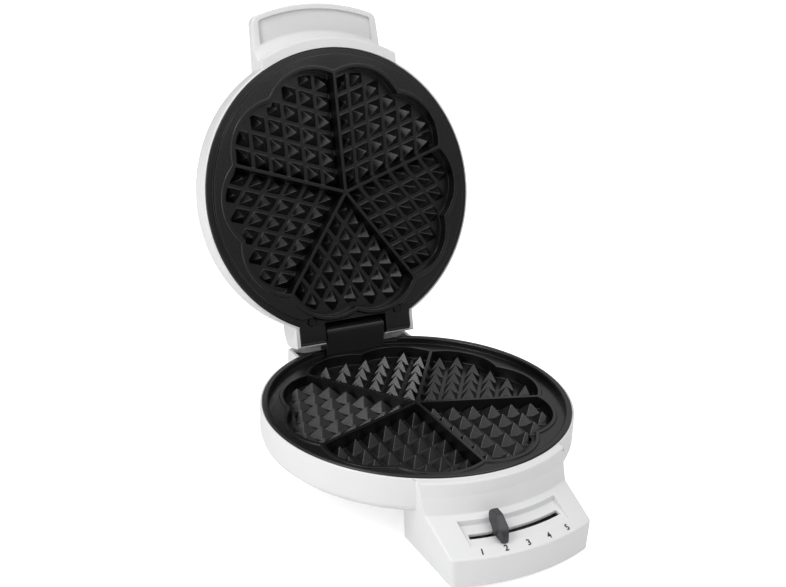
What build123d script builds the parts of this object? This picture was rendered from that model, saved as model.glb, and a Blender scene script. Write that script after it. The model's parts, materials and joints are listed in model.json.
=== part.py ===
from build123d import *
import os
from math import cos, hypot, radians, sin

# Countertop waffle maker for five hearts, drawn with its lid open against its stop.
# X runs to the right, Y to the back and Z up, in millimetres. While the pieces are drawn,
# Z = 0 is the top of the base rim and the Z axis passes through the middle of the plates.
# Lid pieces are drawn closed and then swung open about the hinge pin.
# At the end everything is moved so that the origin is the bottom centre of the whole box.

# Heights and the hinge
rim_height = 52.5
hinge_y = 99.5
hinge_z = 9.4
open_angle = 105.35

# Cast cooking plates
ring_radius = 101.0
ring_inner = 96.9
flange_radius = 96.3
lobe_count = 10
lobe_centre = 54.3
lobe_radius = 34.7
bead_width = 2.6
cavity_depth = 8.5
plate_floor = 3.0
rib_top = 2.2
rib_base = 4.4
rib_length = 83.5
pyramid_spacing = 12.55
first_groove = 0.82
groove_floor = 2.6
pyramid_height = 6.8
tip_flat = 0.5
base_bead_z = -4.15
base_flange_z = -5.0
lid_bead_z = -3.65
lid_flange_z = -3.0
lid_face_z = 0.25
seat_z = 4.3

# White housings
shell_radius = 102.5
shell_wall = 2.6
ring_gap = 0.2
base_wall_low = -20.0
floor_radius = 79.0
floor_z = -36.0
lid_wall_top = 18.5
lid_shoulder_radius = 91.0
lid_top_z = 30.5

# Control nose in front of the base
nose_half_top = 50.3
nose_half_low = 46.8
nose_radius = 137.3
nose_back_y = -73.6
nose_bottom_z = -50.0
neck_radius = 106.3
panel_radius = 110.8
panel_top_z = -20.0
ridge_z = -32.2
neck_top_z = -1.6
nose_corner = 4.0
nose_round = 1.6

# Temperature selector
slot_radius = 122.5
slot_angle = 14.5
slot_width = 3.4
recess_inner = 114.6
recess_outer = 129.8
recess_angle = 16.4
recess_half = 33.6
selector_at_rest = -6.2
lever_z = -32.8
lever_thick = 1.4
lever_width = 8.0
knob_length = 18.5
knob_width = 8.6
knob_ridge = 4.2
knob_height = 8.6

# Lid handle
handle_radius = 134.6
handle_half = 47.4
handle_under_z = 19.6
handle_top_z = 30.6
handle_corner = 7.0
grip_round = 3.0
under_round = 1.2
lip_half = 50.8
lip_radius = 108.5
lip_bottom_z = -0.8
lip_top_z = 3.8
lip_round = 1.6
grip_back_half = 51.6
grip_front_half = 46.8
liner_rim = 3.6
liner_thick = 1.4

# Hinge
pin_radius = 3.0
running_gap = 0.05
block_half = 22.8
block_front = 92.0
block_back = 107.0
block_top = 15.3
block_low = -12.0
ear_inner = 24.3
ear_outer = 43.8
ear_back = 105.5
ear_front = 85.6
ear_face_z = 0.9
ear_top_z = 21.6
web_thick = 1.6
cover_half = 46.5
cover_back = 106.8
cover_low_z = 1.6
housing_back = 109.0
housing_top_z = -2.0
housing_low_z = -27.0

# Parts inside
tube_radius = 3.25
tube_ring = 58.0
tube_start = 110.0
tube_sweep = 320.0
boss_radius = 4.5
boss_ring = 72.0
boss_height = 8.6
boss_angles = (50.0, 130.0, 230.0, 310.0)
shield_radius = 88.0
lid_shield_radius = 85.0
shield_thick = 0.8
clip_angles = (150.0, 270.0, 30.0)
clip_reach = 9.0
thermostat_radius = 11.0
strap_thick = 1.2
shaft_radius = 3.0
screw_radius = 1.5
screw_head = 3.0
screw_head_height = 1.8

# Feet, covers and the cord inlet
leg_x = 40.0
leg_y = 75.0
leg_radius = 10.5
pad_radius = 9.0
pad_height = 3.5
pad_seat = 1.0
nose_pad_x = 34.0
nose_pad_y = -112.0
nose_pad_radius = 7.5
cover_thick = 2.4
opening_radius = 60.0
cover_radius = 66.0
cover_ring = 63.0
cord_bore = 3.6
gland_radius = 6.0
gland_x = -33.0
gland_z = -14.5

base_plate_low = base_bead_z - cavity_depth - plate_floor
lid_plate_top = lid_bead_z + cavity_depth + plate_floor
big = 300.0


def block(x0, x1, y0, y1, z0, z1):
    """Box between two corners."""
    return Pos((x0 + x1) / 2, (y0 + y1) / 2, (z0 + z1) / 2) * Box(x1 - x0, y1 - y0, z1 - z0)


def disc(radius, z0, z1, x=0.0, y=0.0):
    """Upright cylinder from z0 to z1."""
    return Pos(x, y, (z0 + z1) / 2) * Cylinder(radius, z1 - z0)


def cross(radius, x0, x1, y, z):
    """Cylinder along X from x0 to x1."""
    return Pos((x0 + x1) / 2, y, z) * Rot(0, 90, 0) * Cylinder(radius, x1 - x0)


def along_y(radius, y0, y1, x, z):
    """Cylinder along Y from y0 to y1."""
    return Pos(x, (y0 + y1) / 2, z) * Rot(90, 0, 0) * Cylinder(radius, y1 - y0)


def turned(points):
    """Solid of revolution about Z from a closed outline of (radius, z) points."""
    return revolve(Plane.XZ * make_face(Polyline(*points, close=True)), Axis.Z)


def prism(points, z0, z1):
    """Upright prism on a closed outline of (x, y) points."""
    return Pos(0, 0, z0) * extrude(make_face(Polyline(*points, close=True)), z1 - z0)


def side_cut(points, half):
    """Prism along X on a closed outline of (y, z) points, centred on X = 0."""
    return extrude(Plane.YZ * make_face(Polyline(*points, close=True)), half, both=True)


def polar(radius, angle):
    """Point at an angle from +X."""
    return radius * cos(radians(angle)), radius * sin(radians(angle))


def sector(half_angle, z0, z1, centre_angle=-90.0, reach=big):
    """Upright wedge from the Z axis, used to keep or cut an arc."""
    a = polar(reach, centre_angle - half_angle)
    b = polar(reach, centre_angle + half_angle)
    return prism([(0, 0), a, b], z0, z1)


def largest(shape):
    """The biggest solid of a shape."""
    return max(shape.solids(), key=lambda s: s.volume)


def flower(grow, z0, z1):
    """Outline of the ten lobes, grown outward by grow, as an upright solid."""
    body = disc(60.0, z0, z1)
    for i in range(lobe_count):
        x, y = polar(lobe_centre, 72.0 + 36.0 * i)
        body += disc(lobe_radius + grow, z0, z1, x, y)
    return body


def groove(side, n):
    """One V groove of the pyramid field, parallel to the rib at +-36 degrees from +Y."""
    offset = first_groove + n * pyramid_spacing
    low = groove_floor / 2
    high = (pyramid_spacing - tip_flat) / 2
    outline = [(offset - high, 0.0), (offset - low, -pyramid_height),
               (offset + low, -pyramid_height), (offset + high, 0.0),
               (offset + high, 1.0), (offset - high, 1.0)]
    cutter = extrude(Plane.XZ * make_face(Polyline(*outline, close=True)), -120.0)
    cutter = Pos(0, -10, 0) * cutter
    turned_cutter = Rot(0, 0, 36) * cutter
    return turned_cutter if side > 0 else mirror(turned_cutter, Plane.YZ)


def pyramid_field(floor_level):
    """Pyramids of one heart about +Y, standing on a floor at floor_level."""
    reach = 120.0
    start = (rib_base / 2) / sin(radians(36))
    wedge = prism([(0, start), (reach * sin(radians(36)), start + reach * cos(radians(36))),
                   (-reach * sin(radians(36)), start + reach * cos(radians(36)))],
                  -pyramid_height, 0.0)
    field = wedge & flower(-3.4, -pyramid_height, 0.0)
    cutters = [groove(side, n) for side in (1, -1) for n in range(8)]
    field = field - cutters
    pieces = [s for s in field.solids() if s.volume > 45.0]
    return [Pos(0, 0, floor_level + pyramid_height) * s for s in pieces]


def rib(floor_level, top_level):
    """Radial wall between two hearts, drawn along +Y."""
    h = (rib_base - rib_top) / 2
    outline = [(-rib_base / 2, floor_level - 0.5), (rib_base / 2, floor_level - 0.5),
               (rib_base / 2 - h, top_level), (-rib_base / 2 + h, top_level)]
    return extrude(Plane.XZ * make_face(Polyline(*outline, close=True)), -rib_length)


def cooking_face(plate, bead_z):
    """Cut the flower cavity in a plate that faces up and stand its ribs and pyramids in it."""
    floor_level = bead_z - cavity_depth
    plate = plate + flower(bead_width, floor_level, bead_z)
    plate = plate - flower(0.0, floor_level, bead_z + 1.0)
    field = pyramid_field(floor_level)
    adds = []
    for k in range(5):
        adds.append(Rot(0, 0, 36 + 72 * k) * rib(floor_level, bead_z))
        adds += [Rot(0, 0, 72 * k) * s for s in field]
    return plate + adds


def boss_places():
    return [polar(boss_ring, a) for a in boss_angles]


# Lower cooking plate with its rounded rim and rear tab
low = base_plate_low
lower_plate = turned([(0, low), (92.0, low), (95.5, -9.0), (98.8, -9.0), (98.8, -4.3),
                      (ring_radius, -4.3), (ring_radius, -0.9), (ring_radius - 0.65, -0.25),
                      (ring_inner + 0.7, -0.25), (ring_inner, -0.95), (ring_inner, base_flange_z),
                      (0, base_flange_z)])
lower_plate = cooking_face(lower_plate, base_bead_z)
tab = prism([(-43.6, 92.5), (-43.6, 101.5), (-38.0, 97.5), (38.0, 97.5), (43.6, 101.5), (43.6, 92.5)],
            -4.3, -2.6)
lower_plate = lower_plate + (tab - disc(ring_inner, -6, 0))
lower_plate = lower_plate - block(-ear_outer - 0.6, ear_outer + 0.6, 91.0, 120, -2.6, 5)
lower_plate = lower_plate - block(-block_half - 0.4, block_half + 0.4, block_front - 0.4, 120, -20, 5)
for x, y in boss_places():
    lower_plate = lower_plate + disc(boss_radius, low - boss_height, low + 0.5, x, y)
    lower_plate = lower_plate - disc(screw_radius, low - boss_height - 1, low - 0.4, x, y)

for x in (-30.0, 30.0):
    px, py = polar(99.0, -90.0 + x)
    lower_plate = lower_plate + disc(2.2, -7.0, -4.0, px, py)

# Upper cooking plate: the same face turned over, with the two hinge ears
top = lid_plate_top
upper_face = turned([(0, -top), (91.0, -top), (92.5, -4.0), (98.8, -seat_z), (ring_radius, -seat_z),
                     (ring_radius, -lid_face_z - 0.6), (ring_radius - 0.6, -lid_face_z),
                     (ring_inner, -lid_face_z), (flange_radius, -lid_face_z),
                     (flange_radius, -lid_flange_z), (0, -lid_flange_z)])
upper_plate = mirror(cooking_face(upper_face, -lid_bead_z), Plane.XY)
keep_bead = flower(bead_width + 0.8, -10, 20)
pocket = block(-ear_outer - 0.6, ear_outer + 0.6, ear_front, 120, -10, ear_face_z) - keep_bead
upper_plate = upper_plate - pocket
for side in (-1, 1):
    x0, x1 = sorted((side * ear_inner, side * ear_outer))
    ear = side_cut([(ear_front, ear_face_z), (ear_back - 2.5, ear_face_z), (ear_back, ear_face_z + 2.5),
                    (ear_back, ear_top_z - 3), (ear_back - 3, ear_top_z), (ear_front, ear_top_z)], big)
    upper_plate = upper_plate + (ear & block(x0, x1, 60, 120, -10, 30))
upper_plate = upper_plate - cross(pin_radius + running_gap, -60, 60, hinge_y, hinge_z)
upper_plate = upper_plate - block(-ear_inner, ear_inner, block_front - 1.0, 120, -20, 40)
web = side_cut([(88.6, lid_plate_top - 1), (block_front - 1.0, lid_plate_top - 1),
                (block_front - 1.0, ear_top_z - web_thick), (ear_back - 3, ear_top_z - web_thick),
                (ear_back - 3, ear_top_z), (88.6, ear_top_z)], ear_inner + 1)
upper_plate = upper_plate + web
for x, y in boss_places():
    upper_plate = upper_plate + disc(boss_radius, top - 0.5, top + boss_height, x, y)
    upper_plate = upper_plate - disc(screw_radius, top + 0.4, top + boss_height + 1, x, y)
for x in (-30.0, 30.0):
    px, py = polar(99.0, -90.0 + x)
    upper_plate = upper_plate + disc(2.2, 4.0, 7.0, px, py)
for x in (-33.9, 33.9):
    upper_plate = upper_plate - disc(screw_radius, -5, 30, x, 88.8)
    upper_plate = upper_plate - disc(screw_head + 0.4, -5, ear_face_z + 1.2, x, 88.8)

# Base housing: bowl, neck, nose and hinge housing in one moulding
t = shell_wall
bowl_out = turned([(0, floor_z), (floor_radius, floor_z), (98.6, -24.2), (101.6, -21.4),
                   (shell_radius, -18.5), (shell_radius, -1.7), (shell_radius - 0.5, -1.2), (0, -1.2)])
bowl_in = turned([(0, floor_z + t), (floor_radius - 1.2, floor_z + t), (95.6, -23.0),
                  (99.0, -18.5), (99.0, -4.3), (ring_radius + ring_gap, -4.3),
                  (ring_radius + ring_gap, 5), (0, 5)])


def nose_plan(inset, z0, z1, back):
    """Tapered plan of the nose, narrower at the bottom, inset at its sides."""
    def half(z):
        return nose_half_top + (nose_half_low - nose_half_top) * z / nose_bottom_z - inset
    outline = [(-half(z0), z0), (half(z0), z0), (half(z1), z1), (-half(z1), z1)]
    body = extrude(Plane.XZ * make_face(Polyline(*outline, close=True)), 160.0)
    return body & block(-big, big, -big, back, z0 - 1, z1 + 1)


def panel_z(r):
    """Height of the sloping control panel at radius r."""
    return panel_top_z + (ridge_z - panel_top_z) * (r - panel_radius) / (nose_radius - panel_radius)


def nose_turned(i, z_low):
    """Turned front of the nose, inset by i: neck, sloping panel, ridge and upright front."""
    return turned([(0, z_low), (nose_radius - i, z_low), (nose_radius - i, ridge_z - 0.6 * i),
                   (panel_radius - i / 2, panel_top_z - i), (neck_radius + 1.2 - i / 2, -10.0),
                   (neck_radius - i, neck_top_z - i), (0, neck_top_z - i)])


def arc_pad(r0, r1, drop0, drop1, half_angle, up):
    """Arc-shaped slab along the panel from r0 to r1, from drop below the panel upward."""
    ring = turned([(r0, panel_z(r0) - drop0), (r1, panel_z(r1) - drop1),
                   (r1, panel_z(r1) + up), (r0, panel_z(r0) + up)])
    return ring & sector(half_angle, -60, 0)


nose_out = nose_turned(0, nose_bottom_z) & nose_plan(0, nose_bottom_z, 0, nose_back_y)
upright = [e for e in nose_out.edges() if e.center().Y < -120 and abs(e.center().X) > 44
           and abs(e.tangent_at(0.5).Z) > 0.9]
nose_out = fillet(upright, nose_corner)
outer = [e for e in nose_out.edges() if e.center().Y < -100 and -46 < e.center().Z]
nose_out = fillet(outer, nose_round)
nose_in = nose_turned(t, nose_bottom_z - 2) & nose_plan(t, nose_bottom_z - 2, -2, nose_back_y - t)
housing = side_cut([(84, housing_low_z), (housing_back - 6, housing_low_z), (housing_back, housing_low_z + 6),
                    (housing_back, housing_top_z - 1), (housing_back - 1, housing_top_z), (84, housing_top_z)],
                   cover_half)
housing_in = side_cut([(85, housing_low_z + t), (housing_back - 7, housing_low_z + t),
                       (housing_back - t, housing_low_z + 7), (housing_back - t, -7.2), (85, -7.2)],
                      cover_half - t)
seat = block(-block_half, block_half, block_front, housing_back - 1, housing_low_z + 1, -7.0)
legs = [disc(leg_radius, nose_bottom_z, -24.0, x, leg_y) for x in (-leg_x, leg_x)]
base_shell = bowl_out + nose_out + housing + legs
base_shell = base_shell - bowl_in - (housing_in - bowl_out) - (nose_in - bowl_out)
base_shell = base_shell + (seat & housing)
base_shell = base_shell + arc_pad(recess_inner - 2, recess_outer + 2, 5.4, 2.6, recess_angle + 2, -1.0)
recess = arc_pad(recess_inner, recess_outer, 3.5, 0.6, recess_angle + 2, 5.0)
base_shell = base_shell - (recess & block(-recess_half, recess_half, -big, 0, -60, 0))
slot_ring = disc(slot_radius + slot_width / 2, -40, -15) - disc(slot_radius - slot_width / 2, -41, -14)
base_shell = base_shell - (slot_ring & sector(slot_angle, -45, -10))
base_shell = base_shell - (sector(20.0, floor_z + t, -26.0) & block(-40, 40, -104, nose_back_y - t, -60, 0))
for x, y in boss_places():
    base_shell = base_shell + disc(5.0, floor_z + 0.5, base_plate_low - boss_height - shield_thick, x, y)
    base_shell = base_shell - disc(screw_radius, -60, -10, x, y)
    base_shell = base_shell - disc(screw_head, -60, floor_z + screw_head_height, x, y)
base_shell = base_shell - disc(opening_radius, floor_z - 1, floor_z + t)
cover_places = [polar(cover_ring, a) for a in (0.0, 90.0, 180.0, 270.0)]
nose_screw_places = [(-30.0, -90.0), (30.0, -90.0)]
for x, y in nose_screw_places:
    base_shell = base_shell + (disc(4.0, nose_bottom_z + cover_thick, -24.0, x, y) - bowl_in)
    base_shell = base_shell - disc(screw_radius, nose_bottom_z, nose_bottom_z + 14, x, y)
for x, y in cover_places:
    base_shell = base_shell - disc(screw_radius, floor_z - 1, floor_z + t, x, y)
for x in (-leg_x, leg_x):
    base_shell = base_shell - disc(pad_radius, nose_bottom_z - 1, nose_bottom_z + pad_seat, x, leg_y)
rear_cut = block(-ear_outer - 0.6, ear_outer + 0.6, 90, 103.0, -4.3, 5) - disc(ring_radius, -10, 10)
base_shell = base_shell - rear_cut
base_shell = base_shell - block(-block_half, block_half, block_front, block_back, block_low, 5)
base_shell = base_shell - along_y(gland_radius, 103, 115, gland_x, gland_z)
base_shell = base_shell - along_y(4.0, 90, 104, gland_x, gland_z)
for x in (-14.0, 14.0):
    base_shell = base_shell - disc(screw_radius, -30, block_low + 1, x, hinge_y)
    base_shell = base_shell - disc(screw_head, -30, housing_low_z + screw_head_height, x, hinge_y)
for x in (-30.0, 30.0):
    px, py = polar(99.0, -90.0 + x)
    base_shell = base_shell - disc(2.4, -7.4, -4.0, px, py)
base_shell = largest(base_shell)

# Lid housing: dome, neck, handle and hinge cover in one moulding
lid_out = turned([(0, 0.9), (shell_radius - 0.5, 0.6), (shell_radius, 1.1), (shell_radius, lid_wall_top),
                  (101.2, 22.2), (98.0, 25.8), (lid_shoulder_radius, 28.4), (60.0, 29.8), (0, lid_top_z)])
lid_in = turned([(0, -5), (ring_radius + ring_gap, -5), (ring_radius + ring_gap, seat_z), (99.4, seat_z),
                 (99.4, 17.8), (98.4, 20.6), (96.0, 23.4), (90.0, 25.6), (60.0, 27.1), (0, lid_top_z - t)])
grip = turned([(60, lip_bottom_z), (105.8, lip_bottom_z), (105.8, 4.0), (107.2, 13.0),
               (114.0, handle_under_z), (handle_radius, handle_under_z),
               (handle_radius, handle_top_z), (96.0, 26.0), (60, 26.0)])
handle_out = grip & prism([(-grip_back_half, -60), (-grip_front_half, -140), (grip_front_half, -140),
                           (grip_back_half, -60)], -5, 40)
grip_corners = [e for e in handle_out.edges() if e.center().Y < -118 and abs(e.center().X) > 45
                and abs(e.tangent_at(0.5).Z) > 0.9]
handle_out = fillet(grip_corners, handle_corner)
grip_edges = [e for e in handle_out.edges() if e.center().Y < -100 and e.center().Z > 27.5]
handle_out = fillet(grip_edges, grip_round)
under_edges = [e for e in handle_out.edges() if e.center().Y < -116
               and abs(e.center().Z - handle_under_z) < 0.5]
handle_out = fillet(under_edges, under_round)
lip = disc(lip_radius, lip_bottom_z, lip_top_z) - disc(ring_radius + ring_gap, -5, 10)
lip = lip & block(-lip_half, lip_half, -big, -80, -5, 10)
lip_edges = [e for e in lip.edges() if e.center().Y < -90 and hypot(e.center().X, e.center().Y) > 105]
lip = fillet(lip_edges, lip_round)


def grip_slab(inset, z0, z1):
    """Slab with the plan of the handle, inset all round, between two heights."""
    h = handle_half - 0.3 - inset
    ring = disc(handle_radius - inset, z0, z1) - disc(112.0 + inset, z0 - 1, z1 + 1)
    slab = ring & block(-h, h, -big, -60, z0 - 2, z1 + 2)
    ends = [e for e in slab.edges().filter_by(Axis.Z) if e.center().Y < -118]
    return fillet(ends, max(handle_corner - inset, 1.0))


cover = side_cut([(84, cover_low_z), (cover_back - 1, cover_low_z), (cover_back, cover_low_z + 1),
                  (cover_back, 17.5), (cover_back - 1.0, 21.0), (cover_back - 4, 23.6), (97, 25.8), (84, 25.8)],
                 cover_half)
lid_shell = lid_out + handle_out + lip + cover
lid_shell = lid_shell - lid_in
lid_shell = lid_shell + [disc(4.5, ear_top_z, 25.2, x, 88.8) for x in (-33.9, 33.9)]
for side in (-1, 1):
    x0, x1 = sorted((side * (ear_inner - 0.6), side * (ear_outer + 0.2)))
    lid_shell = lid_shell - block(x0, x1, 86, ear_back + 0.2, -5, ear_top_z)
lid_shell = lid_shell - block(-ear_inner, ear_inner, 86, ear_back + 0.2, 7.8, ear_top_z)
lid_shell = lid_shell - block(-ear_inner, ear_inner, block_front - 1.4, 130, -5, 19.8)
lid_shell = lid_shell - block(-ear_outer - 0.2, ear_outer + 0.2, ear_front, 99, -5, ear_top_z)
lid_shell = lid_shell - grip_slab(liner_rim, handle_under_z - 1, handle_top_z - 2.8)
for x in (-33.9, 33.9):
    lid_shell = lid_shell - disc(screw_radius, 0, 24.0, x, 88.8)
for x in (-30.0, 30.0):
    px, py = polar(99.0, -90.0 + x)
    lid_shell = lid_shell - disc(2.4, 4.0, 7.4, px, py)
for x in (-30.0, 30.0):
    lid_shell = lid_shell + disc(4.0, handle_under_z + 2.0 + liner_thick, handle_top_z - 1.5, x, -120)
lid_shell = largest(lid_shell)

handle_liner = grip_slab(liner_rim, handle_under_z + 2.0, handle_under_z + 2.0 + liner_thick)


def screw(x, y, head_z, tip_z):
    """Screw on an upright axis: a cylinder head outside head_z and a shank to tip_z."""
    up = 1 if tip_z > head_z else -1
    a, b = sorted((head_z - up * screw_head_height, head_z))
    c, d = sorted((head_z, tip_z))
    return disc(screw_head - 0.1, a, b, x, y) + disc(screw_radius, c, d, x, y)


# Hinge block, pin and ear screws
hinge_block = side_cut([(block_front, block_low), (block_back, block_low), (block_back, block_top - 4),
                        (block_back - 1.2, block_top - 1.2), (block_back - 4, block_top),
                        (block_front + 4, block_top), (block_front + 1.2, block_top - 1.2),
                        (block_front, block_top - 4)], block_half)
hinge_block = hinge_block - cross(pin_radius, -60, 60, hinge_y, hinge_z)
for x in (-14.0, 14.0):
    hinge_block = hinge_block - disc(screw_radius, block_low - 1, block_low + 12, x, hinge_y)
hinge_pin = cross(pin_radius, -ear_outer + 1, ear_outer - 1, hinge_y, hinge_z)
hinge_block_screws = [screw(x, hinge_y, housing_low_z + screw_head_height, block_low + 10) for x in (-14.0, 14.0)]
ear_screws = [screw(x, 88.8, ear_face_z + 1.2, 23.8) for x in (-33.9, 33.9)]


def heater(centre_z):
    """Tubular element: an arc with a straight terminal at each end."""
    path = Pos(tube_ring, 0, centre_z) * (Rot(90, 0, 0) * Circle(tube_radius))
    arc = revolve(Rot(0, 0, tube_start) * path, Axis.Z, tube_sweep)
    pins = []
    for a, way in ((tube_start, -1), (tube_start + tube_sweep, 1)):
        x, y = polar(tube_ring, a)
        pin = Pos(0, 0, centre_z) * Rot(90, 0, 0) * Cylinder(1.6, 14.0)
        pins.append(Pos(x, y, 0) * Rot(0, 0, a) * Pos(0, way * 4.0, 0) * pin)
    return arc + pins


def tube_clips(plate_z, out):
    """Straps over the heating tube; out is the direction away from the plate."""
    ring = Pos(0, 0, plate_z + out * tube_radius) * Torus(tube_ring, tube_radius)
    clips = []
    for a in clip_angles:
        z0, z1 = sorted((plate_z, plate_z + out * (2 * tube_radius + 1.0)))
        hump = block(tube_ring - 4.4, tube_ring + 4.4, -4, 4, z0, z1)
        z2, z3 = sorted((plate_z, plate_z + out * tube_radius))
        hump = hump - block(tube_ring - 3.4, tube_ring + 3.4, -5, 5, z2, z3)
        z4, z5 = sorted((plate_z, plate_z + out))
        feet = block(tube_ring - clip_reach - 3.5, tube_ring - 4.2, -4, 4, z4, z5)
        feet += block(tube_ring + 4.2, tube_ring + clip_reach + 3.5, -4, 4, z4, z5)
        clip = Rot(0, 0, a) * (hump + feet) - ring
        for r in (tube_ring - clip_reach, tube_ring + clip_reach):
            x, y = polar(r, a)
            clip = clip - disc(screw_radius, z4 - 1, z5 + 1, x, y)
        clips.append(largest(clip))
    return clips


def clip_screws(plate_z, out):
    screws = []
    for a in clip_angles:
        for r in (tube_ring - clip_reach, tube_ring + clip_reach):
            x, y = polar(r, a)
            screws.append(screw(x, y, plate_z + out, plate_z - out * 2.0))
    return screws


lower_heater = heater(base_plate_low - tube_radius)
upper_heater = heater(lid_plate_top + tube_radius)
lower_clips = tube_clips(base_plate_low, -1)
upper_clips = tube_clips(lid_plate_top, 1)
lower_clip_screws = clip_screws(base_plate_low, -1)
upper_clip_screws = clip_screws(lid_plate_top, 1)

# Thermostat, its strap, the selector shaft, lever and knob
strap_low = base_plate_low - strap_thick
thermostat = disc(thermostat_radius, -27.6, strap_low) - disc(shaft_radius + running_gap, -28, -21.0)
thermostat_strap = block(-24, 24, -7, 7, strap_low, base_plate_low)
strap_screws = []
for x in (-19.0, 19.0):
    thermostat_strap = thermostat_strap - disc(screw_radius, -20, -10, x, 0)
    strap_screws.append(screw(x, 0, strap_low, base_plate_low + 2.0))
thermal_fuse = block(-14, 14, 26, 34, base_plate_low - 4.0, base_plate_low)
for x in (-10.0, 10.0):
    thermal_fuse = thermal_fuse - disc(screw_radius, -22, -10, x, 30)
    strap_screws.append(screw(x, 30, base_plate_low - 4.0, base_plate_low + 2.0))
for x, y in [(-19.0, 0), (19.0, 0), (-10.0, 30), (10.0, 30)]:
    lower_plate = lower_plate - disc(screw_radius, low - 1, low + 2.0, x, y)
for a in clip_angles:
    for r in (tube_ring - clip_reach, tube_ring + clip_reach):
        x, y = polar(r, a)
        lower_plate = lower_plate - disc(screw_radius, low - 1, low + 2.0, x, y)
        upper_plate = upper_plate - disc(screw_radius, top - 2.0, top + 1, x, y)

thermostat_shaft = disc(shaft_radius, lever_z, -21.4)
lever = disc(6.5, lever_z, lever_z + lever_thick)
lever = lever + block(-lever_width / 2, lever_width / 2, -slot_radius - 1.6, 0, lever_z, lever_z + lever_thick)
lever = lever + block(-3.0, 3.0, -slot_radius - 1.2, -slot_radius + 1.2, lever_z, panel_z(slot_radius) + 4.5)
lever = lever - disc(shaft_radius, lever_z - 1, lever_z + 3)
low_line = [(-slot_radius + s, panel_z(slot_radius - s) + 0.6) for s in (-knob_length / 2, knob_length / 2)]
(ya, za), (yb, zb) = low_line
fin = side_cut([(ya, za), (yb, zb), (yb - 0.6, zb + 3.0), (yb - 4.5, zb + knob_height - 1.6),
                (yb - 8.0, zb + knob_height - 1.6), (ya + 1.6, za + knob_height - 1.4), (ya, za + 4.0)],
               knob_width)
h0, h1 = knob_width / 2, knob_ridge / 2
wedge = extrude(Plane.XZ * make_face(Polyline((-h0, -34), (h0, -34), (h0, -26), (h1, -15), (-h1, -15),
                                              (-h0, -26), close=True)), 160.0)
knob_plan = prism([(-h1, ya), (-h0, -slot_radius - 3), (-h0, -slot_radius + 3), (-h1, yb),
                   (h1, yb), (h0, -slot_radius + 3), (h0, -slot_radius - 3), (h1, ya)], -40, 0)
knob = fin & wedge & knob_plan
knob = knob - block(-3.0, 3.0, -slot_radius - 1.2, -slot_radius + 1.2, -40, panel_z(slot_radius) + 4.5)
turn = Rot(0, 0, selector_at_rest)
thermostat_shaft, lever, knob = turn * thermostat_shaft, turn * lever, turn * knob

# Heat shields with a hole for the thermostat, and their screws
shield_z = base_plate_low - boss_height
lower_shield = disc(shield_radius, shield_z - shield_thick, shield_z) - disc(16.0, -30, -10)
upper_z = lid_plate_top + boss_height
upper_shield = disc(lid_shield_radius, upper_z, upper_z + shield_thick)
for x, y in boss_places():
    lower_shield = lower_shield - disc(screw_radius, -40, -10, x, y)
    upper_shield = upper_shield - disc(screw_radius, 0, 40, x, y)
plate_screws = [screw(x, y, floor_z + screw_head_height, base_plate_low - 1.0) for x, y in boss_places()]
upper_shield_screws = [screw(x, y, upper_z + shield_thick, lid_plate_top + 1.0) for x, y in boss_places()]

# Underside: covers, their screws, feet, terminal block and cord gland
bottom_cover = disc(cover_radius, floor_z - cover_thick, floor_z)
bottom_screws = []
for x, y in cover_places:
    bottom_cover = bottom_cover - disc(screw_radius, -60, -30, x, y)
    bottom_screws.append(screw(x, y, floor_z - cover_thick, floor_z + t))
nose_cover = (nose_turned(t + 0.2, nose_bottom_z) & nose_plan(t + 0.2, nose_bottom_z, -2, nose_back_y - t - 0.2)
              & block(-big, big, -big, big, nose_bottom_z, nose_bottom_z + cover_thick))
for x, y in nose_screw_places:
    nose_cover = nose_cover - disc(screw_radius, -60, -30, x, y)
    bottom_screws.append(screw(x, y, nose_bottom_z, nose_bottom_z + 12))
pad_low = nose_bottom_z - pad_height + pad_seat
rear_feet = [disc(pad_radius, pad_low, nose_bottom_z + pad_seat, x, leg_y) for x in (-leg_x, leg_x)]
nose_feet = [disc(nose_pad_radius, pad_low, nose_bottom_z + pad_seat, x, nose_pad_y)
             for x in (-nose_pad_x, nose_pad_x)]
for x in (-nose_pad_x, nose_pad_x):
    nose_cover = nose_cover - disc(nose_pad_radius, -60, nose_bottom_z + pad_seat, x, nose_pad_y)
terminal_block = block(-17, 17, -7, 7, 0, 8)
for i in range(3):
    terminal_block = terminal_block - disc(2.2, 4, 9, -11.0 + 11.0 * i, 0)
terminal_block = Pos(-12, 60, floor_z + t) * terminal_block
cord_gland = along_y(gland_radius, 104, 113, gland_x, gland_z)
cord_gland = cord_gland + along_y(gland_radius + 2.4, housing_back, housing_back + 2, gland_x, gland_z)
cord_gland = cord_gland - along_y(cord_bore, 90, 120, gland_x, gland_z)

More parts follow.
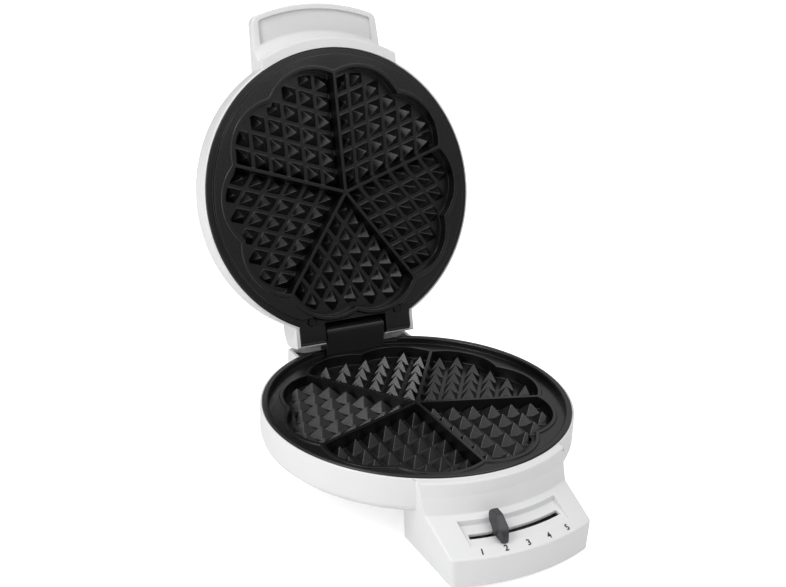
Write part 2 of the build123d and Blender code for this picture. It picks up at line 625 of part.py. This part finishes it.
swing = Pos(0, hinge_y, hinge_z) * Rot(-open_angle, 0, 0) * Pos(0, -hinge_y, -hinge_z)
base_pieces = {
    "base_shell": base_shell, "lower_plate": lower_plate, "lower_heater": lower_heater,
    "lower_heater_clips": lower_clips, "lower_clip_screws": lower_clip_screws,
    "lower_heat_shield": lower_shield, "plate_screws": plate_screws,
    "thermostat": thermostat, "thermostat_strap": thermostat_strap, "strap_screws": strap_screws,
    "thermal_fuse": thermal_fuse, "terminal_block": terminal_block, "cord_gland": cord_gland,
    "hinge_block": hinge_block, "hinge_pin": hinge_pin, "hinge_block_screws": hinge_block_screws,
    "bottom_cover": bottom_cover, "nose_cover": nose_cover, "bottom_screws": bottom_screws,
    "rear_feet": rear_feet, "nose_feet": nose_feet,
    "thermostat_shaft": thermostat_shaft, "control_lever": lever, "slider_knob": knob,
}
lid_pieces = {
    "lid_shell": lid_shell, "handle_liner": handle_liner,
    "upper_plate": upper_plate, "ear_screws": ear_screws, "upper_heater": upper_heater,
    "upper_heater_clips": upper_clips, "upper_clip_screws": upper_clip_screws,
    "upper_heat_shield": upper_shield, "upper_shield_screws": upper_shield_screws,
}


def solids_of(piece):
    if isinstance(piece, list):
        return [s for p in piece for s in solids_of(p)]
    return list(piece.solids())


placed = {name: solids_of(piece) for name, piece in base_pieces.items()}
for name, piece in lid_pieces.items():
    placed[name] = [swing * s for s in solids_of(piece)]

box = Compound([s for solids in placed.values() for s in solids]).bounding_box()
shift = Pos(-(box.min.X + box.max.X) / 2, -(box.min.Y + box.max.Y) / 2, -box.min.Z)
print("moved by", shift.position)
os.makedirs("parts", exist_ok=True)
for name, solids in placed.items():
    moved = [shift * s for s in solids]
    shape = moved[0] if len(moved) == 1 else Compound(moved)
    export_step(shape, f"parts/{name}.step")
    b = shape.bounding_box()
    print(f"{name:22s} {len(solids)} solids  {b.min.X:8.2f} {b.min.Y:8.2f} {b.min.Z:8.2f}"
          f"  {b.max.X:8.2f} {b.max.Y:8.2f} {b.max.Z:8.2f}  {shape.volume:10.1f}")
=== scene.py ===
# %% [markdown]
# A heart waffle maker, open on a table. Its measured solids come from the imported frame, and
# this lesson dresses them: softened edges, printed numbers, real finishes, studio light and a
# camera. Every length is in metres, X is to the right of the cook, Y runs back to the hinge.

# %% Load the measured solids
import json
from math import cos, radians, sin

import bpy
from mathutils import Matrix, Vector


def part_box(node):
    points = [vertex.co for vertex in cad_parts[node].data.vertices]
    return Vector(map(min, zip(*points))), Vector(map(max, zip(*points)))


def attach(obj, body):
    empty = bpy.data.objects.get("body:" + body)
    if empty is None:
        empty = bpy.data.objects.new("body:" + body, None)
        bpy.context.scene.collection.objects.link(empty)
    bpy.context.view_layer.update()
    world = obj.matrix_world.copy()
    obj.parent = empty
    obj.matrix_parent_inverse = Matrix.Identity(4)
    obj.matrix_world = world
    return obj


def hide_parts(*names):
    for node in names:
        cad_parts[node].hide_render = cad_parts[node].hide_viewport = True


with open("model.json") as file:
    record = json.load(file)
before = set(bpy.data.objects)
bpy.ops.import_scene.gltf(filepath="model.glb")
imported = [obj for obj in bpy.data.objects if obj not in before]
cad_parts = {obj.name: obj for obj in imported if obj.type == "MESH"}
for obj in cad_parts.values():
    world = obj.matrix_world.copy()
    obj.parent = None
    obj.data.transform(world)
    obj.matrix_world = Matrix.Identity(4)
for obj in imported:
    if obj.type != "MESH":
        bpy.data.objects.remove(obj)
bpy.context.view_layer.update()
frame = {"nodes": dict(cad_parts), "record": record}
nodes = frame["nodes"]
MM = 0.001
print("solids in the frame:", len(nodes))

# %% [markdown]
# Everything on the control nose lies on circles about the middle of the cooking plates, so
# that point is found once. In depth it is one rim radius behind the lower plate's front, and
# in height it is a quarter of a millimetre over the rim, where the housings' joint lies.

# %% Middle of the plates
PLATE_RADIUS = 101.0 * MM
RIM_GAP = 0.25 * MM
low_corner, high_corner = (Vector(c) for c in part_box("lower_plate"))
plate_middle = Vector((0.0, low_corner.y + PLATE_RADIUS, high_corner.z + RIM_GAP))
print("plate middle:", [round(v, 4) for v in plate_middle])

# %% [markdown]
# The camera stands to the left of the nose, looks down by 21 degrees and is rolled by two.
# Three unit vectors give its turn: back, away from the subject, right and up. Its steps and
# its distance are counted in plate radii, so that they read as proportions of the subject.

# %% Camera
TURN, RISE, ROLL = radians(-28.28), radians(21.16), radians(-1.91)
back = Vector((sin(TURN) * cos(RISE), -cos(TURN) * cos(RISE), sin(RISE)))
side = Vector((cos(TURN), sin(TURN), 0.0))
rise = back.cross(side)
camera_right = cos(ROLL) * side - sin(ROLL) * rise
camera_up = sin(ROLL) * side + cos(ROLL) * rise
SIDE_STEP, UP_STEP, DISTANCE = 0.156, -0.667, 6.898
SENSOR_WIDTH, LENS = 36.0, 48.573
eye = plate_middle + PLATE_RADIUS * (-SIDE_STEP * camera_right - UP_STEP * camera_up
                                     + DISTANCE * back)
camera_data = bpy.data.cameras.new("studio_camera")
camera_data.sensor_fit = "HORIZONTAL"
camera_data.sensor_width = SENSOR_WIDTH
camera_data.lens = LENS
camera_data.clip_start = 10.0 * MM
camera = bpy.data.objects.new("studio_camera", camera_data)
bpy.context.scene.collection.objects.link(camera)
turn = Matrix((camera_right, camera_up, back)).transposed().to_4x4()
camera.matrix_world = Matrix.Translation(eye) @ turn
bpy.context.scene.camera = camera
print("camera at", [round(v, 3) for v in eye])

# %% [markdown]
# Colours are written as sRGB hex values, as a paint chart gives them. Cycles works in linear
# light, so one function turns a hex value into a linear colour. A second one adds a shader
# node, sets its options and fills or links its sockets, so that each material reads as a
# short list from its pattern to its surface.

# %% Colour and node helpers
def linear(hex_code):
    channels = [int(hex_code[i:i + 2], 16) / 255 for i in (1, 3, 5)]
    return tuple(c / 12.92 if c <= 0.04045 else ((c + 0.055) / 1.055) ** 2.4
                 for c in channels) + (1.0,)


def add_node(tree, kind, settings=None, inputs=None):
    node = tree.nodes.new(kind)
    for name, value in (settings or {}).items():
        setattr(node, name, value)
    for socket, value in (inputs or {}).items():
        if isinstance(value, bpy.types.NodeSocket):
            tree.links.new(value, node.inputs[socket])
        else:
            node.inputs[socket].default_value = value
    return node


print("mid grey in linear light:", round(linear("#808080")[0], 3))

# %% [markdown]
# Most finishes here share one build-up. A broad noise shifts the colour a little between a
# light and a dark value, a finer one varies the roughness, and the finest one makes the
# shallow bump of a moulded, coated or drawn surface. Sizes are real ones, in millimetres.

# %% Build-up shared by the finishes
def finish(name, light, dark, rough, grain_mm, grain_depth_mm, metal=0.0, patch_mm=30.0,
           stretch=(1.0, 1.0, 1.0), ior=1.5):
    material = bpy.data.materials.new(name)
    material.use_nodes = True
    tree = material.node_tree
    tree.nodes.clear()
    place = add_node(tree, "ShaderNodeTexCoord").outputs["Object"]
    scaled = add_node(tree, "ShaderNodeMapping", {}, {"Vector": place, "Scale": stretch})
    patches = add_node(tree, "ShaderNodeTexNoise", {}, {
        "Vector": scaled.outputs["Vector"], "Scale": 1 / (patch_mm * MM), "Detail": 3.0})
    grain = add_node(tree, "ShaderNodeTexNoise", {}, {
        "Vector": scaled.outputs["Vector"], "Scale": 1 / (grain_mm * MM), "Detail": 2.0})
    colour = add_node(tree, "ShaderNodeMix", {"data_type": "RGBA"}, {
        "Factor": patches.outputs["Fac"], "A": linear(dark), "B": linear(light)})
    roughness = add_node(tree, "ShaderNodeMapRange", {}, {
        "Value": grain.outputs["Fac"], "From Min": 0.3, "From Max": 0.7,
        "To Min": rough[0], "To Max": rough[1]})
    bump = add_node(tree, "ShaderNodeBump", {}, {
        "Height": grain.outputs["Fac"], "Distance": grain_depth_mm * MM, "Strength": 1.0})
    shader = add_node(tree, "ShaderNodeBsdfPrincipled", {}, {
        "Base Color": colour.outputs["Result"], "Roughness": roughness.outputs["Result"],
        "Metallic": metal, "IOR": ior, "Normal": bump.outputs["Normal"]})
    add_node(tree, "ShaderNodeOutputMaterial", {}, {"Surface": shader.outputs["BSDF"]})
    print(name, "nodes:", len(tree.nodes))
    return material


# %% [markdown]
# The housings are injection-moulded ABS in white with a satin shine. Polished moulds leave
# a faint orange peel, about 1.5 mm across and a few microns deep, that softens highlights.
# The covers come from textured moulds, so their grain is finer, deeper and more matt. The
# hinge block is a black phenolic moulding, harder and duller, and the knob is charcoal ABS.

# %% Moulded plastics
white_abs = finish("white_moulded_abs", "#DDDDDE", "#D8D8D9", (0.32, 0.40), 1.5, 0.003)
white_cover = finish("white_textured_abs", "#D9D9DA", "#D1D1D2", (0.50, 0.60), 0.6, 0.01)
black_phenolic = finish("black_phenolic_plastic", "#1D1D1E", "#161617", (0.36, 0.46), 0.9, 0.01)
charcoal_abs = finish("charcoal_moulded_abs", "#333336", "#29292B", (0.34, 0.44), 0.8, 0.008)

# %% [markdown]
# Two quiet materials are neither plastic nor metal: the terminal block is pressed and fired
# steatite, which is cream and chalky, and the feet are moulded grey rubber without a shine.

# %% Ceramic and rubber
pale_ceramic = finish("pale_steatite_ceramic", "#E3DDCF", "#D2CBBB", (0.55, 0.70), 0.7, 0.02)
grey_rubber = finish("grey_foot_rubber", "#B9B9B7", "#A5A5A3", (0.70, 0.85), 0.5, 0.03)

# %% [markdown]
# The cooking plates are die-cast aluminium under a sprayed black non-stick coat. The coat
# hides the metal: it looks like a dark satin plastic with a fine spray texture and a soft
# sheen, so it is a dark dielectric with a broad highlight and not a metal.

# %% Non-stick coat
nonstick = finish("nonstick_coated_aluminium", "#0B0B0C", "#070708", (0.26, 0.34), 0.55, 0.010,
                  patch_mm=12.0, ior=1.52)

# %% [markdown]
# The metal parts inside are stainless tube, pressed aluminised sheet and zinc-plated screws.
# Rolling leaves fine lines in a sheet, so its grain is drawn out twelve times along two axes
# and kept fine along the third. Blackened steel is a dark metal with a soft highlight.

# %% Metals
tube_steel = finish("drawn_heater_tube", "#A9A7A3", "#8F8C88", (0.28, 0.42), 0.8, 0.004, 1.0)
sheet_steel = finish("rolled_aluminised_sheet", "#C9CACC", "#B5B6B8", (0.25, 0.40), 0.7, 0.004,
                     1.0, stretch=(1.0, 0.08, 0.08))
plated_steel = finish("zinc_plated_steel", "#C4C4C0", "#AFAFAB", (0.22, 0.34), 0.5, 0.004, 1.0)
black_steel = finish("blackened_steel", "#3A3A3B", "#2A2A2B", (0.35, 0.48), 0.4, 0.006, 1.0)

# %% [markdown]
# Each solid keeps the material slot that its record names, and takes the finish made for
# that slot. The solids themselves aren't moved or reshaped. A table from slot to finish is
# the shortest way to say this, and it shows at a glance what the appliance is made of.

# %% Give every solid its finish
finish_of_slot = {
    "white_housing": white_abs, "white_cover": white_cover, "nonstick_plate": nonstick,
    "hinge_black": black_phenolic, "selector_charcoal": charcoal_abs,
    "steel_tube": tube_steel, "steel_sheet": sheet_steel, "steel_screw": plated_steel,
    "black_screw": black_steel, "ceramic_body": pale_ceramic, "foot_rubber": grey_rubber,
}
slot_of_node = {part["node"]: part["material_slot"] for part in frame["record"]["subparts"]}
for name, solid in nodes.items():
    for slot in solid.material_slots:
        slot.material = finish_of_slot[slot_of_node[name]]
print("finishes:", len(finish_of_slot))

# %% [markdown]
# Real mouldings and castings have no sharp edges. A copy of a solid is merged, because its
# triangles arrive loose, and a bevel rounds each edge that turns by more than an angle. Flat
# faces are then given the say over the normals near them, so that large panels stay flat and
# only the narrow rounding takes the highlight. The copy stands for the solid in pictures,
# and the solid itself stays as it is for the physics.

# %% Softened copies of the solids
body_of_node = {n: b for b, members in frame["record"]["behaviour"]["bodies"].items()
                for n in members}
MERGE_GAP = 0.01 * MM


def soften(name, radius_mm, segments=2, angle=28.0, smooth=40.0):
    source = nodes[name]
    piece = bpy.data.objects.new(name + "_dressed", source.data.copy())
    bpy.context.scene.collection.objects.link(piece)
    bpy.ops.object.select_all(action="DESELECT")
    piece.select_set(True)
    bpy.context.view_layer.objects.active = piece
    bpy.ops.object.mode_set(mode="EDIT")
    bpy.ops.mesh.select_all(action="SELECT")
    bpy.ops.mesh.remove_doubles(threshold=MERGE_GAP)
    bpy.ops.object.mode_set(mode="OBJECT")
    if radius_mm > 0:
        bevel = piece.modifiers.new("edge_radius", "BEVEL")
        bevel.width = radius_mm * MM
        bevel.segments = segments
        bevel.limit_method = "ANGLE"
        bevel.angle_limit = radians(angle)
        bevel.use_clamp_overlap = False
        bevel.miter_outer = "MITER_ARC"
        bpy.ops.object.modifier_apply(modifier=bevel.name)
    bpy.ops.object.shade_smooth_by_angle(angle=radians(smooth))
    weight = piece.modifiers.new("face_weight", "WEIGHTED_NORMAL")
    weight.keep_sharp = True
    bpy.ops.object.modifier_apply(modifier=weight.name)
    piece.data.materials.clear()
    piece.data.materials.append(finish_of_slot[slot_of_node[name]])
    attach(piece, body_of_node[name])
    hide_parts(name)
    print(piece.name, "faces:", len(piece.data.polygons))


# %% [markdown]
# The white housings already have their large radii in the solids. Their walls are thin and
# end in small steps, where a wide bevel would fold over itself, so they get only a fine one
# on edges that turn sharply.

# %% White housings
soften("base_shell", 0.25, 2, 40)
soften("lid_shell", 0.12, 2, 50, 30)

# %% [markdown]
# A die-cast pyramid keeps a radius of about a third of a millimetre on its edges, and the
# sprayed coat fills it further. These edges catch the light as fine bright lines.

# %% Cooking plates
soften("lower_plate", 0.35)
soften("upper_plate", 0.35)

# %% [markdown]
# Small mouldings are rounded more, and the knob, which a finger pushes, most of all. The
# thin panel that is snapped in under the handle is only smoothed.

# %% Hinge block, knob, handle panel and feet
soften("hinge_block", 0.6)
soften("slider_knob", 0.8, 3)
soften("handle_liner", 0.0)
soften("rear_feet", 0.5)
soften("nose_feet", 0.5)

# %% [markdown]
# The temperature scale is five numbers, pad-printed in black along an arc on the sloping
# panel. The panel is part of a cone about the middle of the plates, so two points on its
# slope, each a radius and a height, give its fall.

# %% Sloping panel and its ink
PANEL_TOP_RADIUS, PANEL_TOP_HEIGHT = 110.8 * MM, -20.0 * MM
PANEL_LOW_RADIUS, PANEL_LOW_HEIGHT = 137.3 * MM, -32.2 * MM
panel_fall = (PANEL_LOW_HEIGHT - PANEL_TOP_HEIGHT) / (PANEL_LOW_RADIUS - PANEL_TOP_RADIUS)
print_black = finish("pad_print_ink", "#141414", "#101010", (0.45, 0.55), 0.6, 0.002)
print("panel falls by", round(panel_fall, 3), "per unit of radius")

# %% [markdown]
# Each number is a text object that is made a mesh, 0.06 mm thick as a film of ink, and then
# laid on the cone so that it reads from the front. Its stroke is widened a little, because
# the printed numbers are bold. One step of the scale is 6.25 degrees.

# %% Printed numbers
NUMBER_RADIUS = 133.6 * MM
NUMBER_SIZE = 5.2 * MM
NUMBER_STEP = 6.25
NUMBER_COUNT = 5
STROKE_GROWTH = 0.15 * MM
HALF_INK = 0.03 * MM


def lay_number(text, angle):
    bpy.ops.object.text_add(location=(0.0, 0.0, 0.0))
    number = bpy.context.object
    number.name = "number_" + text
    number.data.body = text
    number.data.size = NUMBER_SIZE
    number.data.align_x = "CENTER"
    number.data.align_y = "CENTER"
    number.data.extrude = HALF_INK
    number.data.offset = STROKE_GROWTH
    bpy.ops.object.convert(target="MESH")
    out = Vector((sin(radians(angle)), -cos(radians(angle)), 0.0))
    right = Vector((cos(radians(angle)), sin(radians(angle)), 0.0))
    down_slope = (out + Vector((0.0, 0.0, panel_fall))).normalized()
    normal = right.cross(-down_slope)
    height = PANEL_TOP_HEIGHT + panel_fall * (NUMBER_RADIUS - PANEL_TOP_RADIUS)
    spot = plate_middle + out * NUMBER_RADIUS + Vector((0.0, 0.0, height))
    place = Matrix((right, -down_slope, normal)).transposed().to_4x4()
    number.data.transform(Matrix.Translation(spot + normal * HALF_INK) @ place)
    number.data.materials.clear()
    number.data.materials.append(print_black)
    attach(number, "base")


for index in range(NUMBER_COUNT):
    lay_number(str(index + 1), (index - (NUMBER_COUNT - 1) / 2) * NUMBER_STEP)
print("numbers laid:", NUMBER_COUNT)

# %% [markdown]
# The floor is a flat sheet of white paper. It is a diffuse white that adds a little light of
# its own for the camera only, so that it comes out white in the picture but still keeps the
# soft shadow under the object.

# %% Studio floor
FLOOR_SIZE = 6.0
PAPER_GLOW = 0.62
bpy.ops.mesh.primitive_plane_add(size=FLOOR_SIZE, location=(0.0, 0.0, 0.0))
floor = bpy.context.object
floor.name = "paper_floor"
paper = bpy.data.materials.new("white_backdrop_paper")
paper.use_nodes = True
tree = paper.node_tree
tree.nodes.clear()
rays = add_node(tree, "ShaderNodeLightPath")
diffuse = add_node(tree, "ShaderNodeBsdfDiffuse", {}, {"Color": linear("#F2F2F2")})
glow = add_node(tree, "ShaderNodeEmission", {}, {
    "Color": (1.0, 1.0, 1.0, 1.0), "Strength": PAPER_GLOW})
both = add_node(tree, "ShaderNodeAddShader", {}, {0: diffuse.outputs[0], 1: glow.outputs[0]})
pick = add_node(tree, "ShaderNodeMixShader", {}, {
    0: rays.outputs["Is Camera Ray"], 1: diffuse.outputs[0], 2: both.outputs[0]})
add_node(tree, "ShaderNodeOutputMaterial", {}, {"Surface": pick.outputs[0]})
floor.data.materials.append(paper)
print("floor:", FLOOR_SIZE, "m wide")

# %% [markdown]
# The studio is lit by a dome that is bright overhead and dim near the horizon. The dim part
# is what the floors between the pyramids mirror, so they stay dark, and the bright part
# lights the tops of the housings. The camera itself sees the dome as plain white.

# %% White dome
HORIZON_GLOW, OVERHEAD_GLOW = 0.16, 0.95
GLOW_STARTS, GLOW_FULL = 0.1, 0.9
world = bpy.data.worlds.new("white_dome")
bpy.context.scene.world = world
world.use_nodes = True
tree = world.node_tree
tree.nodes.clear()
rays = add_node(tree, "ShaderNodeLightPath")
direction = add_node(tree, "ShaderNodeTexCoord")
height = add_node(tree, "ShaderNodeSeparateXYZ", {}, {"Vector": direction.outputs["Generated"]})
overhead = add_node(tree, "ShaderNodeMapRange", {}, {
    "Value": height.outputs["Z"], "From Min": GLOW_STARTS, "From Max": GLOW_FULL,
    "To Min": HORIZON_GLOW, "To Max": OVERHEAD_GLOW})
level = add_node(tree, "ShaderNodeMix", {"data_type": "FLOAT"}, {
    0: rays.outputs["Is Camera Ray"], 2: overhead.outputs["Result"], 3: 1.0})
dome = add_node(tree, "ShaderNodeBackground", {}, {
    "Color": (1.0, 1.0, 1.0, 1.0), "Strength": level.outputs[0]})
add_node(tree, "ShaderNodeOutputWorld", {}, {"Surface": dome.outputs[0]})
print(world.name, "nodes:", len(tree.nodes))

# %% [markdown]
# Three soft boxes give the light a direction. A large one is above and in front on the
# right, a low one on the left catches the left faces of the pyramids, and a small one high
# on the left draws the highlights along their edges. They are hidden from the camera.


# %% Soft boxes
def soft_box(name, place, size, watts, target=(0.0, 0.0, 0.08)):
    lamp = bpy.data.lights.new(name, "AREA")
    lamp.shape = "RECTANGLE"
    lamp.size, lamp.size_y = size
    lamp.energy = watts
    holder = bpy.data.objects.new(name, lamp)
    bpy.context.scene.collection.objects.link(holder)
    holder.visible_camera = False
    aim = Vector(target) - Vector(place)
    holder.matrix_world = (Matrix.Translation(Vector(place))
                           @ aim.to_track_quat("-Z", "Y").to_matrix().to_4x4())
    print(name, watts, "W at", round(aim.length, 2), "m")


soft_box("key_box", (0.5, -0.9, 1.3), (0.9, 0.9), 5.2)
soft_box("side_box", (-1.0, -0.3, 0.22), (1.0, 0.8), 5.0, (0.0, 0.0, 0.15))
soft_box("edge_box", (-0.85, -0.15, 1.05), (0.35, 0.35), 4.0, (0.0, 0.05, 0.15))
bpy.context.scene.view_settings.view_transform = "Standard"
